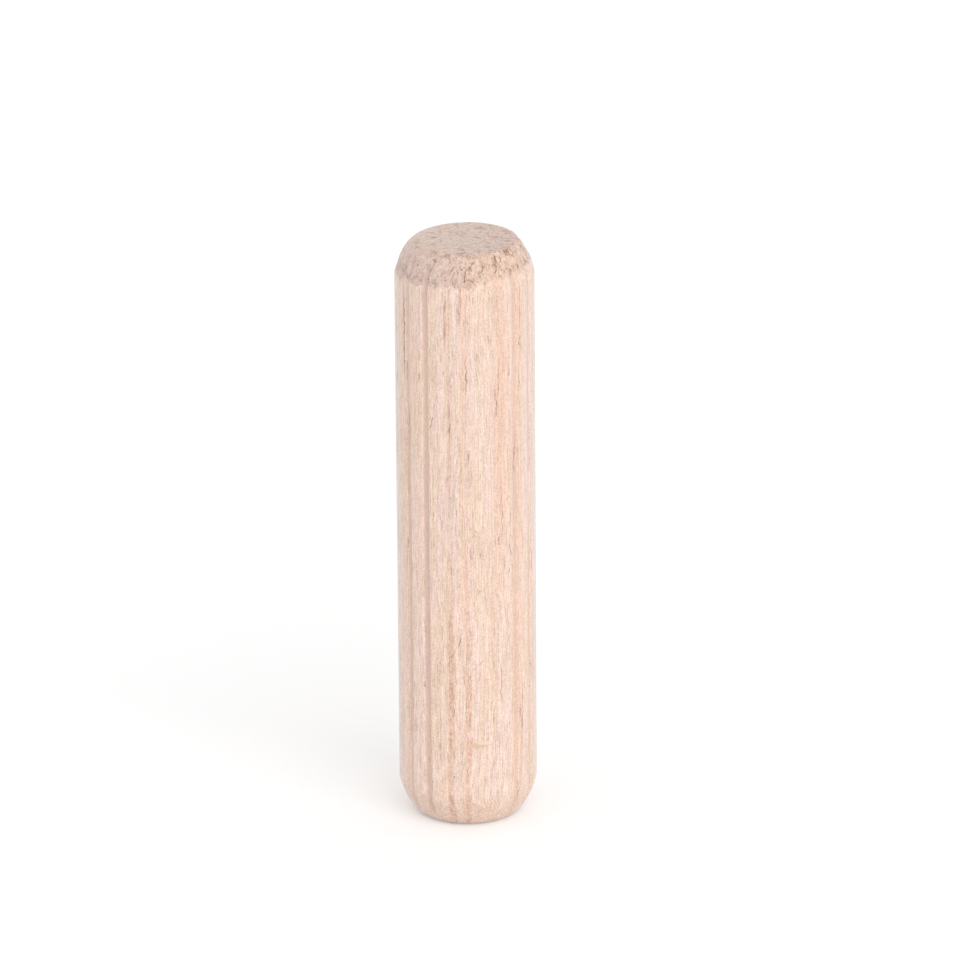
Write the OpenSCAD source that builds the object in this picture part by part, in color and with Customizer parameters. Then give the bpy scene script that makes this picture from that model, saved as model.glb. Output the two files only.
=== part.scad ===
// Fluted wooden dowel pin with crowned ends.
// It stands on one end, with the origin at the middle of that end face and +Z along the pin.

/* [Pin] */
// Length over both end faces
pin_length = 35; // [16:0.5:120]
// Diameter across the lands between the flutes
pin_d = 8; // [5:0.1:20]

/* [Ends] */
// How far each end narrows, measured on one side
end_bevel = 1; // [0.3:0.05:1.8]
// How much the round of the crowned ends is larger in radius than the pin
crown_extra_r = 0.06; // [0.02:0.01:1]

/* [Flutes] */
// Number of flutes round the pin
flute_count = 18; // [6:1:24]
// Width of a flute at its mouth
flute_width = 0.5; // [0.4:0.02:0.6]
// Depth of a flute below the lands
flute_depth = 0.15; // [0.05:0.01:0.2]
// Angle of the first flute, from +X towards +Y
flute_start = 15; // [0:1:60]

/* [Hidden] */

wood_colour = [0.94, 0.83, 0.75];

pin_r = pin_d / 2;
end_face_r = pin_r - end_bevel;

// Each crown is part of a ball, centred on the pin's axis, with its pole cut off flat
crown_r = pin_r + crown_extra_r;
crown_centre = sqrt(pow(crown_r, 2) - pow(end_face_r, 2));

// A flute is a round-bottomed groove, cut by a rod that lies along the pin
flute_mouth_r = sqrt(pow(pin_r, 2) - pow(flute_width / 2, 2));
flute_bottom_r = pin_r - flute_depth;
flute_sag = flute_mouth_r - flute_bottom_r;
flute_rod_r = pow(flute_width / 2, 2) / (2 * flute_sag) + flute_sag / 2;
flute_rod_at = flute_bottom_r + flute_rod_r;
flute_pitch = 360 / flute_count;
// How far the rod runs past each end face
flute_rod_overrun = 1;

// Half of the section through one crowned end, with the end face on the X axis
module end_section() {
    intersection() {
        square([pin_r, crown_centre]);
        translate([0, crown_centre]) circle(r = crown_r, $fn = 180);
    }
}

// Half of the section through the whole pin
module pin_section() {
    end_section();
    translate([0, crown_centre]) square([pin_r, pin_length - 2 * crown_centre]);
    translate([0, pin_length]) mirror([0, 1]) end_section();
}

// One flute, which runs out through the crowns
module flute() {
    translate([flute_rod_at, 0, -flute_rod_overrun])
        cylinder(r = flute_rod_r, h = pin_length + 2 * flute_rod_overrun, $fn = 48);
}

module dowel_pin() {
    color(wood_colour)
    difference() {
        rotate_extrude($fn = 180) pin_section();
        for (i = [0 : flute_count - 1])
            rotate([0, 0, flute_start + i * flute_pitch]) flute();
    }
}

dowel_pin();
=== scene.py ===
import math

import bpy
from mathutils import Matrix, Vector, noise


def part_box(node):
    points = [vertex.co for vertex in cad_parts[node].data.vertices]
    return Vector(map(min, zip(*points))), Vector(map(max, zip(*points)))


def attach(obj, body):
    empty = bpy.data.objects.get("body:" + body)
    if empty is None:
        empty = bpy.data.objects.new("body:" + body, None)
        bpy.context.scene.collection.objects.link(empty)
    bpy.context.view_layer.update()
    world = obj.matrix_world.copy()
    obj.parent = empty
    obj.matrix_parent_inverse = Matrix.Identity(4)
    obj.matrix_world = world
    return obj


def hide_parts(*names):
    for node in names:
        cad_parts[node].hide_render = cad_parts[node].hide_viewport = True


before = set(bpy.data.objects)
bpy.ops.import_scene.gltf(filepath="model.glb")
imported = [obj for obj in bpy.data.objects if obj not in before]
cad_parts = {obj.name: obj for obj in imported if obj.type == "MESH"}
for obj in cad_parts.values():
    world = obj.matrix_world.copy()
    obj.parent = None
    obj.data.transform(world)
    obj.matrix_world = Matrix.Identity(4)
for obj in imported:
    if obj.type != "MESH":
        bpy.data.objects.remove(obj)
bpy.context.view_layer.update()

# The pin: one length of pale beech, turned round, fluted by a toothed die and trimmed at both ends by a
# cupped cutter, which tears the fibres, so the crowned ends are rougher and greyer than the shank.
# Sizes are in millimetres until the mesh is made, and angles run from the front (-Y) towards +X.
metre = 1000
pin_low, pin_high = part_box("dowel_pin")
pin_length = (pin_high.z - pin_low.z) * metre
pin_r = (pin_high.x - pin_low.x) * metre / 2
end_bevel = 1
crown_extra_r = 0.06
end_face_r = pin_r - end_bevel
crown_r = pin_r + crown_extra_r
crown_centre = math.sqrt(crown_r ** 2 - end_face_r ** 2)
crown_height = crown_centre - math.sqrt(crown_r ** 2 - pin_r ** 2)

# The die pressed some flutes deeper than others, and most of those in front are shallow
flute_count = 18
flute_pitch = 360 / flute_count
first_flute = 5
flute_half_width = 0.25
flute_lip = 0.03
flute_floor_half_width = 0.06
flute_depth = 0.14
depth_spread = 0.05
front_depths = {-4: 0.05, -3: 0.1, -2: 0.16, -1: 0.04, 0: 0.03, 1: 0.04, 2: 0.08, 3: 0.08, 4: 0.05}

# A flute wavers by this many degrees, and gets deeper and less deep by this share, over these lengths
flute_waver = 0.5
flute_waver_length = 22
flute_swell = 0.35
flute_swell_length = 8
# How far apart in the noise two flutes take their numbers
flute_noise_step = 7.3

# Across and along the fibres, the sizes of what the cutter tears
coarse_tears = (0.3, 0.42)
fine_tears = (0.13, 0.2)
finest_tears = (0.07, 0.1)
torn_patches = (0.8, 0.8)
tear_depth = 0.06
# The bottom crown is torn, and its rim varies, by only this share of what the top one has
bottom_share = 0.3

# The rim is rounder on one side of the pin than on the other
rim_round = 0.34
rim_round_change = 0.24
sharpest_rim_at = 80

# The cutter's ragged mark ends this far short of the foot of the crown, leans to one side, and strays
cut_mark_short = 0.45
cut_mark_lean = 0.08
cut_mark_stray = 0.35
cut_mark_fray = 0.2

# How many vertices the mesh has round the pin, and how many rings on each part of it
around = 432
face_rings = 24
crown_rings = 46
shank_rings = 80


def ease(low, high, value):
    share = min(max((value - low) / (high - low), 0), 1)
    return share * share * (3 - 2 * share)


def soft_max(a, b, blend):
    overlap = max(blend - abs(a - b), 0) / blend
    return max(a, b) + overlap ** 2 * blend / 4


def unevenness(x, y, z, size, long_size):
    return noise.noise(Vector((x / size, y / size, z / long_size)))


def flute_dip(angle, height):
    """How deep the pressed flutes lie below the lands at a point of the shank."""
    number = round((angle - first_flute) / flute_pitch)
    own = number * flute_noise_step
    waver = flute_waver * noise.noise(Vector((own, 0, height / flute_waver_length)))
    centre = first_flute + number * flute_pitch + waver
    depth = front_depths.get(number, flute_depth + depth_spread * noise.noise(Vector((own, 9, 0))))
    depth *= 1 + flute_swell * noise.noise(Vector((own, 5, height / flute_swell_length)))
    off = abs(math.radians(angle - centre)) * pin_r
    return depth * ease(flute_half_width + flute_lip, flute_floor_half_width, off)


def tearing(x, y, height):
    """Above 0 in a pit that the cutter tore in the crown, and below 0 on a flake that stands up beside it."""
    coarse = unevenness(x + 9, y, height, *coarse_tears)
    fine = unevenness(x + 5, y, height, *fine_tears)
    finest = unevenness(x, y + 5, height, *finest_tears)
    rough = coarse + 0.8 * fine + 0.5 * finest
    where = unevenness(x, y, height - 7, *torn_patches)
    calm = 0.25 * ease(0, -2.5, x)
    return ease(0.5, 0.85, rough + 0.3 * where - calm) - 0.8 * ease(-0.4, -0.8, rough - 0.3 * where + calm)


def worn(angle, radius, height):
    """Where a point of the clean pin lies on the worn one, and how torn and how pressed the wood is there."""
    top = height > pin_length / 2
    from_end = pin_length - height if top else height
    turn = math.radians(angle)
    x = radius * math.sin(turn)
    y = -radius * math.cos(turn)
    side = math.sin(math.radians(angle + (90 - sharpest_rim_at))) * (1 if top else bottom_share)
    rim_blend = rim_round - rim_round_change * side
    if from_end < crown_height:
        ball = crown_centre - math.sqrt(crown_r ** 2 - radius ** 2)
        from_end = soft_max(0, ball, rim_blend)
    ragged = crown_height - cut_mark_short - cut_mark_lean * x
    ragged += cut_mark_stray * unevenness(x, y, 0, 0.6, 1) + cut_mark_fray * unevenness(x, y, 3, 0.25, 1)
    cut = ease(ragged + 0.1, ragged - 0.3, from_end) * ease(end_face_r - 0.4, end_face_r + 0.15, radius)
    torn = cut * tearing(x, y, height) * (1 if top else bottom_share)
    dent = 0.008 + 0.008 * unevenness(x, y, height, 0.5, 9)
    dent += cut * (0.03 + 0.02 * unevenness(x, y, height, 0.5, 0.6)) + tear_depth * torn
    new_radius = radius
    pressed = flute_dip(angle, height) * ease(end_face_r + 0.2, end_face_r + 0.8, radius)
    if radius > end_face_r * 0.98:
        new_radius -= max(dent, 0.002) + pressed
    else:
        from_end += 0.01 + 0.008 * unevenness(x, y, height, 0.35, 1)
    new_height = pin_length - from_end if top else from_end
    point = (new_radius * math.sin(turn), -new_radius * math.cos(turn), new_height)
    return point, torn, pressed / flute_depth


rim_tilt = math.asin(end_face_r / crown_r)
shank_tilt = math.asin(pin_r / crown_r)
lower_half = [(end_face_r * i / face_rings, 0) for i in range(1, face_rings)]
for i in range(crown_rings + 1):
    tilt = rim_tilt + (shank_tilt - rim_tilt) * i / crown_rings
    lower_half.append((crown_r * math.sin(tilt), crown_centre - crown_r * math.cos(tilt)))
shank = pin_length - 2 * crown_height
shank_part = [(pin_r, crown_height + shank * i / shank_rings) for i in range(1, shank_rings)]
upper_half = [(radius, pin_length - height) for radius, height in reversed(lower_half)]
profile = lower_half + shank_part + upper_half

# The middle of each end face lies this far in
face_sink = 0.01
points = [(0, 0, face_sink)]
torn_amounts = [0.0]
pressed_amounts = [0.0]
for radius, height in profile:
    for column in range(around):
        point, torn, pressed = worn(column * 360 / around - 180, radius, height)
        points.append(point)
        torn_amounts.append(torn)
        pressed_amounts.append(pressed)
points.append((0, 0, pin_length - face_sink))
torn_amounts.append(0.0)
pressed_amounts.append(0.0)
last_ring = 1 + (len(profile) - 1) * around
faces = []
for column in range(around):
    beside = (column + 1) % around
    faces.append((0, 1 + beside, 1 + column))
    for ring in range(len(profile) - 1):
        start = 1 + ring * around
        faces.append((start + column, start + beside, start + around + beside, start + around + column))
    faces.append((last_ring + column, last_ring + beside, len(points) - 1))
pin_mesh = bpy.data.meshes.new("dowel_pin_wood")
pin_mesh.from_pydata([(x / metre, y / metre, z / metre) for x, y, z in points], [], faces)
pin_mesh.polygons.foreach_set("use_smooth", [True] * len(faces))
pin_mesh.attributes.new("torn", "FLOAT", "POINT").data.foreach_set("value", torn_amounts)
pin_mesh.attributes.new("pressed", "FLOAT", "POINT").data.foreach_set("value", pressed_amounts)
pin = bpy.data.objects.new("dowel_pin_wood", pin_mesh)
bpy.context.scene.collection.objects.link(pin)


def paint(red, green, blue):
    """A colour as it shows on a screen, from 0 to 255, in the renderer's own linear values."""
    shares = [value / 255 for value in (red, green, blue)]
    return [s / 12.92 if s <= 0.04045 else ((s + 0.055) / 1.055) ** 2.4 for s in shares] + [1]


class Field:
    """A value, vector or colour that varies over the wood. Arithmetic on values adds Math nodes."""

    def __init__(self, tree, output=None):
        self.tree = tree
        self.output = output

    def node(self, kind, settings, values, output=0):
        made = self.tree.nodes.new(kind)
        for name, setting in settings.items():
            setattr(made, name, setting)
        for name, value in values.items():
            if isinstance(value, Field):
                self.tree.links.new(value.output, made.inputs[name])
            else:
                made.inputs[name].default_value = value
        return Field(self.tree, made.outputs[output])

    def math(self, operation, first, second=0.0):
        return self.node("ShaderNodeMath", {"operation": operation}, {0: first, 1: second})

    def __add__(self, other):
        return self.math("ADD", self, other)

    __radd__ = __add__

    def __sub__(self, other):
        return self.math("SUBTRACT", self, other)

    def __rsub__(self, other):
        return self.math("SUBTRACT", other, self)

    def __mul__(self, other):
        return self.math("MULTIPLY", self, other)

    __rmul__ = __mul__

    def __pow__(self, other):
        return self.math("POWER", self, other)

    def __abs__(self):
        return self.math("ABSOLUTE", self)

    def rise(self, low, high):
        """0 below low and 1 above high, with a soft slope between, or falling if high is less than low."""
        if high < low:
            return 1 - self.rise(high, low)
        ranges = {"Value": self, "From Min": low, "From Max": high}
        # The slope stays within 0 and 1 by itself. A clamp on each one would overfill the renderer's stack
        # when the relief is baked, and the relief would be lost.
        settings = {"interpolation_type": "SMOOTHSTEP", "clamp": False}
        return self.node("ShaderNodeMapRange", settings, ranges)

    def between(self, first, second):
        """This value's share of the way from the first colour to the second."""
        return self.node("ShaderNodeMix", {"data_type": "RGBA"}, {0: self, 6: first, 7: second}, 2)


wood = bpy.data.materials.new("beech")
wood.use_nodes = True
shader = wood.node_tree.nodes["Principled BSDF"]
field = Field(wood.node_tree)

place = field.node("ShaderNodeTexCoord", {}, {}, "Object")
place = field.node("ShaderNodeVectorMath", {"operation": "SCALE"}, {0: place, "Scale": metre})
across = field.node("ShaderNodeSeparateXYZ", {}, {0: place}, "X")
away = field.node("ShaderNodeSeparateXYZ", {}, {0: place}, "Y")
height = field.node("ShaderNodeSeparateXYZ", {}, {0: place}, "Z")
radius = (across * across + away * away) ** 0.5
angle = field.math("ARCTAN2", across, 0 - away) * (180 / math.pi)
arc = angle * (math.pi * pin_r / 180)
torn = field.node("ShaderNodeAttribute", {"attribute_name": "torn"}, {}, "Fac")
pressed = field.node("ShaderNodeAttribute", {"attribute_name": "pressed"}, {}, "Fac")


def stretched(x, y, z):
    return field.node("ShaderNodeVectorMath", {"operation": "MULTIPLY"}, {0: place, 1: (x, y, z)})


def vector(x, y, z):
    return field.node("ShaderNodeCombineXYZ", {}, {0: x, 1: y, 2: z})


def cloud(space, scale, detail, output="Fac"):
    return field.node("ShaderNodeTexNoise", {}, {"Vector": space, "Scale": scale, "Detail": detail}, output)


# Growth lines waver a little on their way up the pin, and fibres are shorter than growth lines
waver = cloud(stretched(0.12, 0.12, 0.11), 1, 2) - 0.5
small_waver = cloud(stretched(0.4, 0.4, 0.5), 1, 1) - 0.5
shiver = cloud(stretched(2.2, 2.2, 2.2), 1, 1) - 0.5
bent_across = across + waver * 0.9 + small_waver * 0.15
bent_away = away + waver * 0.7 + small_waver * 0.15
grain = vector(bent_across, bent_away, height * 0.03)
bent_angle = angle + waver * 3 + small_waver * 2 + shiver * 1.5

broad = cloud(grain, 0.9, 2)
medium = cloud(grain, 4, 2)
fine = cloud(grain, 12, 1)
fibre = cloud(vector(bent_across, bent_away, height * 0.09), 15, 1)
grit = cloud(stretched(1, 1, 0.6), 14, 1)
hue = cloud(vector(bent_across + 40, bent_away, height * 0.02), 3.2, 3)
blush = cloud(vector(bent_across, bent_away + 20, height * 0.2), 3.6, 2)

# Colours of the lengthwise streaks
pink_wood = paint(245, 219, 205)
peach_wood = paint(243, 214, 190)
rosy_wood = paint(248, 212, 202)
colour = hue.rise(0.35, 0.65).between(pink_wood, peach_wood)
colour = (blush.rise(0.45, 0.7) * 0.6).between(colour, rosy_wood)


def band(at, half_width):
    """1 along a lengthwise band at that angle round the pin, and 0 away from it."""
    return abs(bent_angle - at).rise(half_width, half_width * 0.3)


# Orange bands, of which the first fades towards the foot
orange_wood = paint(241, 200, 176)
orange_fades_at = 4
orange_full_at = 26
orange = band(30, 8) * height.rise(orange_fades_at, orange_full_at)
for at, half_width, strength in ((46, 8, 0.8), (-3, 3, 0.6), (23, 3, 0.35), (120, 7, 0.6), (-150, 8, 0.7)):
    orange = band(at, half_width) * strength + orange
colour = (orange * (medium.rise(0.3, 0.6) * 0.5 + fine.rise(0.35, 0.6) * 0.4)).between(colour, orange_wood)

# Pale bands at both sides of the front, where the pin turns away: a painted rim highlight
painted_rim_highlight = paint(245, 231, 220)
colour = (band(-79, 11) * 0.5 + band(81, 9) * 0.3).between(colour, painted_rim_highlight)

# Red-brown broken lines, which are stronger low down
broken = cloud(vector(arc * 1.5, height * 0.9, 3), 1, 1).rise(0.3, 0.6)
ticks = cloud(vector(arc * 13, height * 4, 5), 1, 2).rise(0.42, 0.58)
red_fades_at = 20
red_full_at = 8
low_down = height.rise(red_fades_at, red_full_at)
red = (band(-14, 4.2) + band(1, 3.8)) * (broken * 0.7 + 0.3) * (ticks * 0.8 + 0.2) * (low_down * 0.6 + 0.3)
red_wood = paint(218, 166, 140)
colour = red.between(colour, red_wood)

# Fine dark hair lines, where pores were cut open along the shank
rim_width = 0.15
on_side = radius.rise(end_face_r, end_face_r + rim_width)
hair = cloud(vector(bent_across, bent_away, height * 0.12), 9, 1)
hairs = hair.rise(0.36, 0.24) * medium.rise(0.62, 0.4) * on_side


# Cracks waver with the fibres
crack_arc = arc + shiver * 0.24
crack_height = height + shiver * 0.03


def crack(at, middle_height, half_length, slant, half_width=0.05):
    """A line of that length in the surface, which leans to the right by its slant."""
    above = crack_height - middle_height
    beside = crack_arc - at * math.pi * pin_r / 180 - above * slant
    return abs(beside).rise(half_width, half_width * 0.3) * abs(above).rise(half_length, half_length * 0.5)


# Thin brown lines, which run up the shank for a few millimetres
lines = crack(27.5, 27.2, 2.4, 0.08) + crack(51, 31, 2.6, 0, 0.07) + crack(-16.5, 31, 2, 0, 0.08)
lines = lines + crack(-4, 32.4, 1.4, 0.03, 0.1) + crack(44, 22.6, 1.6, 0.1) + crack(52.5, 6.6, 2.4, 0.02)
lines = lines + crack(29, 9, 1.4, 0) + crack(0.5, 28, 1.5, 0) + crack(-13.5, 24.5, 2.2, 0.01)
lines = lines + crack(31, 19.5, 1.6, 0) + crack(-59.5, 30, 3.4, 0, 0.08)
lines = lines * (fibre.rise(0.7, 0.35) * 0.55 + 0.33)
line_wood = paint(208, 160, 130)
colour = lines.between(colour, line_wood)


# The longest cracks and torn fibres that show in front
cracks = crack(-59.5, 30.2, 3.4, 0, 0.07) + crack(44, 22.6, 0.9, 0.1) + crack(-29, 25.1, 0.45, 0.35)
cracks = cracks + crack(9.4, 29.2, 0.3, 0) + crack(-41, 27.7, 0.25, 0.05) + crack(-13, 24.9, 0.4, 0)
cracks = cracks + crack(2, 23.1, 0.5, 0) + crack(28, 17.9, 0.35, 0.03) + crack(-11.6, 7.4, 0.35, 0.1)
cracks = cracks + crack(70, 15.8, 1.0, 0) + crack(51, 6.5, 0.9, 0) + crack(26, 26.3, 1.1, -0.1, 0.03)
cracks = cracks + crack(-54.5, 24.5, 1.2, 0.02) + crack(-53.5, 16, 3.5, 0, 0.03) + crack(-53.5, 9, 3, 0, 0.03)
cracks = cracks + crack(51, 29.7, 0.35, 0) + crack(0.5, 28, 0.35, 0) + crack(38, 28, 0.25, 0)
cracks = cracks + crack(-12, 3.4, 0.1, 0) + crack(-6, 11.8, 0.3, 0.1)

# Small tears that run across the fibres, and are fainter
tears = crack(4.5, 21.5, 0.16, 0.9) + crack(-14, 21.9, 0.2, 0.5) + crack(36.5, 20.4, 0.16, 0.8)
tears = tears + crack(5, 18.3, 0.14, 0.7) + crack(3.5, 18.8, 0.1, -0.8) + crack(8, 18.6, 0.1, -1.2)
tears = tears + crack(10, 14.9, 0.14, 0.8) + crack(12, 14.95, 0.1, 1.3) + crack(11.5, 10.5, 0.12, 0.9)
tears = tears + crack(35.5, 26.7, 0.06, 3) + crack(28, 20, 0.12, 0.6) + crack(14, 10.6, 0.1, 1.2)
tears = tears + crack(7.5, 8.1, 0.06, -1.4) + crack(-31.5, 25.3, 0.1, -1)
cracks = (tears * 0.6 + cracks) * (grit.rise(0.65, 0.4) * 0.5 + 0.5) * on_side

# Curls that the cutter tore out of the crown in front
curls = crack(7.5, 34.9, 0.14, -1.1) + crack(32, 34.8, 0.34, -0.2, 0.07) + crack(38.3, 34.6, 0.2, 0.1)
curls = curls + crack(6.3, 34.48, 0.22, 1.25, 0.07) + crack(0.5, 33.95, 0.36, 0.1)
curls = curls + crack(0.5, 33.7, 0.09, 0.5, 0.09) + crack(-33, 33.65, 0.16, 0.5, 0.06)
curls = curls + crack(-38, 34.8, 0.12, -0.5) + crack(51.5, 34.96, 0.08, -1)
curls = curls + crack(-16.5, 34.8, 0.3, -0.7, 0.035) + crack(29, 34.05, 0.12, 0.9, 0.07)
curls = curls + crack(56, 34, 0.18, 0.4) + crack(13, 34.1, 0.1, 1) + crack(17, 34, 0.08, 1.3)
curls = curls + crack(-6, 34.15, 0.12, -0.6) + crack(-11, 34.3, 0.18, 0.6)
curls = curls * on_side

# Splinters all round, torn loose at a slant
splinters_per_mm_round = 0.6
splinters_per_mm_up = 0.4
splinter_place = vector(arc * splinters_per_mm_round, height * splinters_per_mm_up, 0)
splinter_space = {"Vector": splinter_place, "Scale": 1}
flat_cells = {"voronoi_dimensions": "2D"}
nearest = field.node("ShaderNodeTexVoronoi", flat_cells, splinter_space, "Position")
pick = field.node("ShaderNodeTexVoronoi", flat_cells, splinter_space, "Color")
pick_red = field.node("ShaderNodeSeparateColor", {}, {0: pick}, "Red")
pick_green = field.node("ShaderNodeSeparateColor", {}, {0: pick}, "Green")
off_arc = arc - field.node("ShaderNodeSeparateXYZ", {}, {0: nearest}, "X") * (1 / splinters_per_mm_round)
off_height = height - field.node("ShaderNodeSeparateXYZ", {}, {0: nearest}, "Y") * (1 / splinters_per_mm_up)
pick_blue = field.node("ShaderNodeSeparateColor", {}, {0: pick}, "Blue")
slant = pick_red * 0.4 - 0.13
beside_splinter = off_arc - off_height * slant + shiver * 0.2
splinter_half = pick_green * 0.3 + 0.05
splinter_ends = (abs(off_height) - splinter_half).rise(0.04, -0.1) * pick_blue.rise(0.15, 0.8) * on_side
splinter_gap = abs(beside_splinter).rise(0.06, 0.015) * splinter_ends * (grit.rise(0.7, 0.35) * 0.7 + 0.3)
# The lip beside each splinter's gap is painted lighter: a painted highlight on its raised edge
splinter_lip_highlight = abs(beside_splinter - 0.08).rise(0.06, 0.02) * splinter_ends

# A small flake low down in front, lifted at its right end. A paler patch on its top is a painted highlight,
# and a darker, yellower patch under it is painted shadow
fleck_tilt = -0.01
fleck_top_arc = 1.02
fleck_top_height = 5.52
fleck_under_arc = 0.56
fleck_under_height = 5.38
fleck_right = arc - fleck_top_arc
fleck_up = height - fleck_top_height - fleck_right * fleck_tilt
fleck_top = ((fleck_right * 1.7) ** 2 + (fleck_up * 6) ** 2).rise(1, 0.7)
fleck_left = arc - fleck_under_arc
fleck_down = height - fleck_under_height - fleck_left * fleck_tilt
fleck_under_shadow = ((fleck_left * 1.6) ** 2 + (fleck_down * 5) ** 2).rise(1, 0.6)

# The cut crowns
from_end = abs(height - pin_length / 2) * -1 + pin_length / 2
top_end = height.rise(pin_length / 2, pin_length / 2 + 1)
ragged = cloud(stretched(1, 1, 0.3), 1.6, 3) * 1.1 - 0.55
cut_line = from_end + ragged + across * cut_mark_lean
cut = cut_line.rise(crown_height - 0.35, crown_height - 0.6) * (top_end * 0.8 + 0.2)
mauve_side = (across + cloud(place, 0.8, 2) * 2).rise(3, -1.6)
cut_wood = mauve_side.between(paint(232, 199, 178), paint(219, 194, 184))
colour = (cut * 0.85).between(colour, cut_wood)
speck = cloud(stretched(1, 1, 0.7), 3.6, 3).rise(0.585, 0.63) * 0.7
speck = speck + cloud(place, 9, 1).rise(0.62, 0.72) * 0.5
curl = abs(cloud(stretched(1, 1, 0.7), 1.7, 2) - 0.5).rise(0.05, 0.02)
curl = curl * cloud(place, 2, 1).rise(0.5, 0.56)
speck = (speck + curl * 1.2) * cut * (1 - mauve_side * 0.4)
mottle = cloud(place, 4, 3)

# The end faces, where the pores show as short dashes
on_face = radius.rise(end_face_r + 0.35, end_face_r - 0.3) * from_end.rise(0.5, 0.2)
face_ripple = cloud(vector(across * 0.9, away * 2.6, 0), 1.6, 3)
face_wood = (across + face_ripple * 2).rise(1, 3.4).between(paint(219, 194, 179), paint(218, 188, 174))
colour = on_face.between(colour, face_wood)
face_space = {"Vector": vector(across * 1.2, away * 2.4 + face_ripple, 0), "Scale": 1}
face_far = field.node("ShaderNodeTexVoronoi", flat_cells, face_space, "Distance")
face_pick = field.node("ShaderNodeTexVoronoi", flat_cells, face_space, "Color")
face_pick = field.node("ShaderNodeSeparateColor", {}, {0: face_pick}, "Red")
face_pores = face_far.rise(0.3, 0.2) * face_pick.rise(0.6, 0.9) * on_face

# Light and dark of the fibres, with painted shade in the flutes and a painted highlight on the splinters'
# lips, then what is pressed, torn or cracked
streaks = (broad - 0.5) * 0.06 + (medium - 0.5) * 0.13 + (fine - 0.5) * 0.46 + (fibre - 0.5) * 0.5
streaks = streaks * (1 - cut * 0.5) * (1 - on_face * 0.9) * (1 - pressed * 0.4) + (grit - 0.5) * 0.56
streaks = streaks * (low_down * 0.12 + 1)
streaks = streaks + (mottle - 0.5) * (cut * 0.5 + on_face * 0.25) + (face_ripple - 0.5) * 0.25 * on_face
# Painted shade in the flutes, and the painted highlight on the splinters' lips
streaks = streaks - pressed * 0.05 + splinter_lip_highlight * 0.12
# Dark fibres are also browner, so red changes least and blue changes most
shade = vector(streaks * 0.92 + 1, streaks * 1.06 + 1, streaks * 1.25 + 1)
colour = field.node("ShaderNodeVectorMath", {"operation": "MULTIPLY"}, {0: colour, 1: shade})
# The pressed flutes are darker and mauve: partly the pressed wood's own tone, partly painted shade in their
# hollows
pressed_tone_and_shade = paint(218, 187, 174)
colour = (pressed.rise(0.2, 0.8) * 0.5).between(colour, pressed_tone_and_shade)
# The flakes that stand up beside the pits are painted paler: a painted highlight on their raised edges
flake_highlight = paint(250, 232, 220)
colour = (torn.rise(0, -0.7) * 0.5).between(colour, flake_highlight)
dark = hairs * 0.5 + cracks * 0.75 + curls + speck * 0.5 + face_pores * 0.75 + splinter_gap * 0.6
# Darker in the pits that the cutter tore: painted shade in their hollows
dark = dark + torn.rise(0.1, 0.9) * 0.35
marks_and_pit_shade = paint(170, 130, 110)
colour = dark.between(colour, marks_and_pit_shade)
# Painted shadow under the flake, then a painted highlight on its lifted top
colour = (fleck_under_shadow * 0.85).between(colour, paint(230, 199, 170))
colour = (fleck_top * 0.65).between(colour, paint(251, 224, 200))

rough = 0.66 + cut * 0.12 + (fine - 0.5) * 0.1
bump_height = (medium - 0.5) * 0.3 + (fine - 0.5) * 0.4 + (fibre - 0.5) * 0.5 + (grit - 0.5) * 0.4
bump_height = bump_height - hairs * 0.6 - cracks + fleck_top * 0.8
bump_height = bump_height - speck * 0.6 - face_pores + (mottle - 0.5) * cut
bump = field.node("ShaderNodeBump", {}, {"Strength": 0.8, "Distance": 0.00003, "Height": bump_height})
for name, value in (("Base Color", colour), ("Roughness", rough), ("Normal", bump)):
    wood.node_tree.links.new(value.output, shader.inputs[name])
shader.inputs["Specular IOR Level"].default_value = 0.5
shader.inputs["Sheen Weight"].default_value = 0.9
shader.inputs["Sheen Roughness"].default_value = 0.3
pin_mesh.materials.append(wood)

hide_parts("dowel_pin")
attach(pin, "root")

# The floor: a plain white sheet that the pin stands on, laid flat and not fixed.
# It is seen as white apart from the pin's soft shadow.
floor_half = 1.5
floor_mesh = bpy.data.meshes.new("floor")
floor_corners = [(-floor_half, -floor_half, 0), (floor_half, -floor_half, 0)]
floor_corners += [(floor_half, floor_half, 0), (-floor_half, floor_half, 0)]
floor_mesh.from_pydata(floor_corners, [], [(0, 1, 2, 3)])
floor = bpy.data.objects.new("floor", floor_mesh)
bpy.context.scene.collection.objects.link(floor)
white_sheet = bpy.data.materials.new("white_sheet")
white_sheet.use_nodes = True
sheet = Field(white_sheet.node_tree)
sheet_shader = white_sheet.node_tree.nodes["Principled BSDF"]


def seen_rays(ground):
    """1 on rays that see the white ground, straight on, in a mirror or through glass."""
    seen = ground.node("ShaderNodeLightPath", {}, {}, "Is Camera Ray")
    for ray in ("Is Glossy Ray", "Is Transmission Ray"):
        seen = ground.math("MAXIMUM", seen, ground.node("ShaderNodeLightPath", {}, {}, ray))
    return seen


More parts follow.
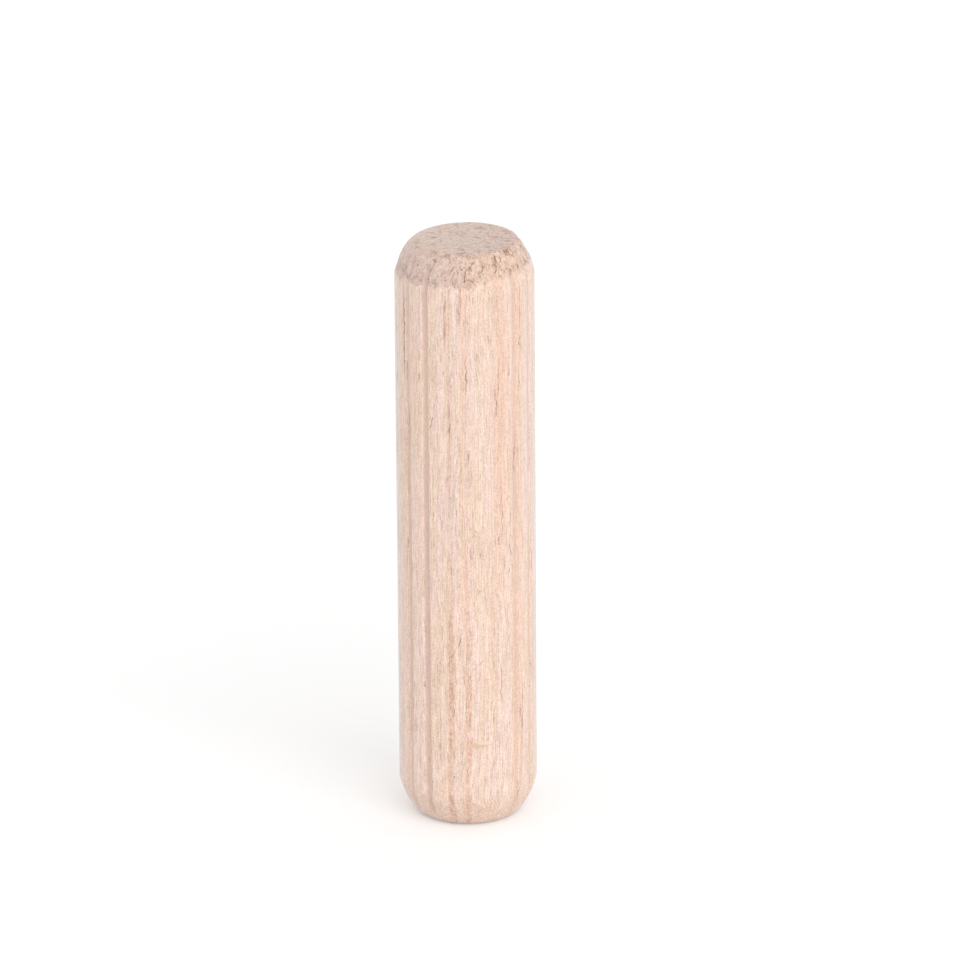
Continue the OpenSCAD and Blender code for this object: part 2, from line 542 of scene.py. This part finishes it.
sheet_shader.inputs["Base Color"].default_value = (0.86, 0.86, 0.86, 1)
sheet_shader.inputs["Roughness"].default_value = 0.9
sheet_shader.inputs["Specular IOR Level"].default_value = 0
sheet_shader.inputs["Emission Strength"].default_value = 0.22
glow = seen_rays(sheet).between((0, 0, 0, 1), (1, 1, 1, 1))
white_sheet.node_tree.links.new(glow.output, sheet_shader.inputs["Emission Color"])
floor_mesh.materials.append(white_sheet)

# The light: an even pale room, and one wide soft lamp in front, to the right and above.
# Both shine at a plain level, so that a colour renders about as it is written.
room = bpy.data.worlds.new("room")
room.use_nodes = True
bpy.context.scene.world = room
room_air = Field(room.node_tree)
room_shader = room.node_tree.nodes["Background"]
room_level = 0.8
room_light = room_level + seen_rays(room_air) * (1 - room_level)
room_shader.inputs["Color"].default_value = (1, 1, 1, 1)
room.node_tree.links.new(room_light.output, room_shader.inputs["Strength"])

lamp_data = bpy.data.lights.new("soft_lamp", "SUN")
lamp_data.energy = 0.85
lamp_data.angle = math.radians(50)
lamp = bpy.data.objects.new("soft_lamp", lamp_data)
bpy.context.scene.collection.objects.link(lamp)
lamp_from = Vector((0.6, -1, 0.75))
lamp.rotation_euler = lamp_from.to_track_quat("Z", "Y").to_euler()

# The camera: a long lens in front of the pin, which looks down on it by about a quarter of a right angle.
# The middle of the pin is put at the pixel where it lies in the photograph.
frame_size = 960
shown_per_mm = 17.37
camera_far = 450
look_down = math.radians(20.9)
pin_centre_in_photo = (466, 525)
lean = math.radians(0.4)
camera_data = bpy.data.cameras.new("camera")
camera_data.sensor_width = 36
camera_data.lens = camera_data.sensor_width * shown_per_mm * camera_far / frame_size
camera = bpy.data.objects.new("camera", camera_data)
bpy.context.scene.collection.objects.link(camera)
right = Vector((1, 0, 0))
up = Vector((0, math.sin(look_down), math.cos(look_down)))
back = Vector((0, -math.cos(look_down), math.sin(look_down)))
off_right = (frame_size / 2 - pin_centre_in_photo[0]) / shown_per_mm
off_up = (pin_centre_in_photo[1] - frame_size / 2) / shown_per_mm
middle = Vector((0, 0, pin_length / 2))
aim = middle + right * off_right + up * off_up
camera_place = (aim + back * camera_far) / metre
turned = Matrix((right, up, back)).transposed().to_4x4()
camera.matrix_world = Matrix.Translation(camera_place) @ turned @ Matrix.Rotation(-lean, 4, "Z")
bpy.context.scene.camera = camera

bpy.context.scene.view_settings.view_transform = "Standard"
